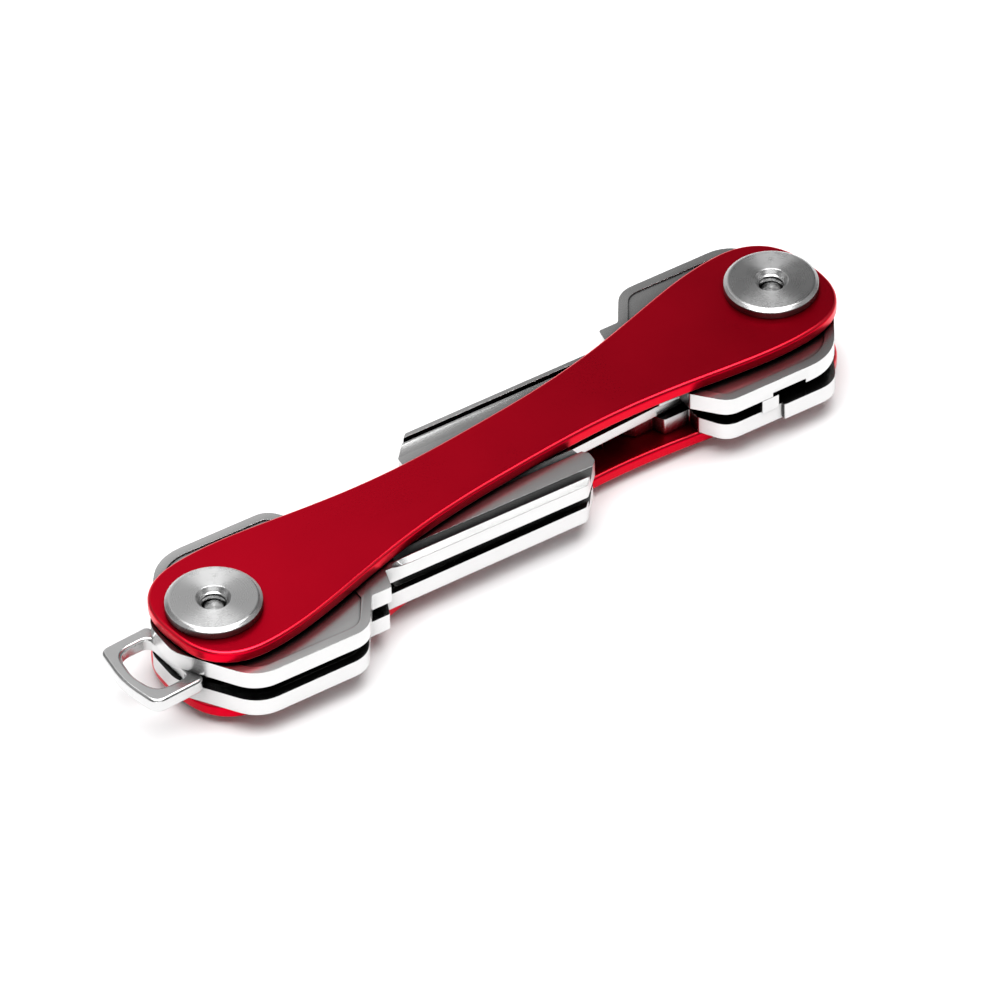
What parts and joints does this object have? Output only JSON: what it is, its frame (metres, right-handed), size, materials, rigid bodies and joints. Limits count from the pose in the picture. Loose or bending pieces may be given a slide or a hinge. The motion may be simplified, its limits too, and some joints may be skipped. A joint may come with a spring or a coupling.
{
  "type": "key organiser",
  "caption": "Pocket key holder: two waisted plates clamp swing-out keys, a split-ring loop and a bottle opener on two threaded posts.",
  "frame": {"origin": "centre of the back plate's outer face, midway between the two posts", "axes": "+X from the loop end to the other end, +Z out of the front plate"},
  "size_m": [0.0892, 0.0221, 0.0109],
  "materials": {
    "anodised_red": "satin red anodising",
    "turned_steel": "turned face with fine rings",
    "nylon": "plain nylon",
    "shim_steel": "plain rolled steel",
    "key_steel": "nickel-plated key blank, brushed",
    "loop_steel": "satin steel"
  },
  "bodies": {
    "frame": {"front_plate": "anodised_red", "back_plate": "anodised_red", "left_barrel_nut": "turned_steel", "right_barrel_nut": "turned_steel", "left_screw": "turned_steel", "right_screw": "turned_steel", "left_front_washer": "nylon", "left_back_washer": "nylon", "right_front_washer": "nylon", "right_back_washer": "nylon", "left_lower_shim": "shim_steel", "left_upper_shim": "shim_steel", "right_lower_shim": "shim_steel", "right_upper_shim": "shim_steel"},
    "left_upper_key": {"left_upper_key": "key_steel"},
    "left_lower_key": {"left_lower_key": "key_steel"},
    "right_upper_key": {"right_upper_key": "key_steel"},
    "right_lower_key": {"right_lower_key": "key_steel"},
    "loop": {"loop_piece": "loop_steel"},
    "opener": {"bottle_opener": "key_steel"}
  },
  "joints": [
    {"name": "left_upper_key_swing", "type": "hinge", "parent": "frame", "child": "left_upper_key", "pos_m": [-0.036, 0, 0.00617], "axis": [0, 0, 1], "range_deg": [-325, 0]},
    {"name": "left_lower_key_swing", "type": "hinge", "parent": "frame", "child": "left_lower_key", "pos_m": [-0.036, 0, 0.00253], "axis": [0, 0, 1], "range_deg": [-325, 0]},
    {"name": "right_upper_key_swing", "type": "hinge", "parent": "frame", "child": "right_upper_key", "pos_m": [0.036, 0, 0.00617], "axis": [0, 0, 1], "range_deg": [-325, 0]},
    {"name": "right_lower_key_swing", "type": "hinge", "parent": "frame", "child": "right_lower_key", "pos_m": [0.036, 0, 0.00253], "axis": [0, 0, 1], "range_deg": [-325, 0]},
    {"name": "loop_swing", "type": "hinge", "parent": "frame", "child": "loop", "pos_m": [-0.036, 0, 0.00435], "axis": [0, 0, 1], "continuous": true},
    {"name": "opener_swing", "type": "hinge", "parent": "frame", "child": "opener", "pos_m": [0.036, 0, 0.00435], "axis": [0, 0, 1], "range_deg": [-180, 180]}
  ]
}
